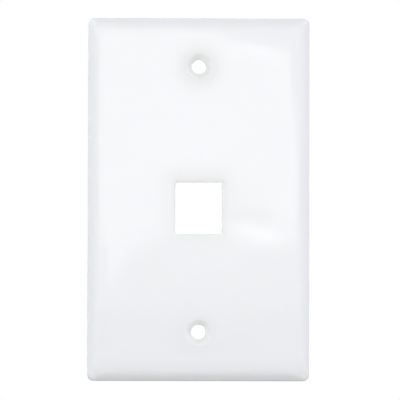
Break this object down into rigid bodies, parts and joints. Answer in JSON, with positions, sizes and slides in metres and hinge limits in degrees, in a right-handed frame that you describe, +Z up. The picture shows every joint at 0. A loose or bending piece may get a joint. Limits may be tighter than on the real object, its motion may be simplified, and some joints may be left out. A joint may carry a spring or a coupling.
{
  "type": "keystone faceplate",
  "caption": "Rectangular keystone wall plate with rolled edges, a snap-in jack port below its middle and countersunk screw holes above and below.",
  "frame": {"origin": "on the wall plane, where the rim's back edge sits, midway between the screw holes", "axes": "+X to the right and +Z up as seen from the front, and the front face towards -Y"},
  "size_m": [0.0698, 0.01, 0.1142],
  "materials": {
    "moulding": "polished white moulding"
  },
  "bodies": {
    "root": {"faceplate": "moulding"}
  },
  "joints": []
}
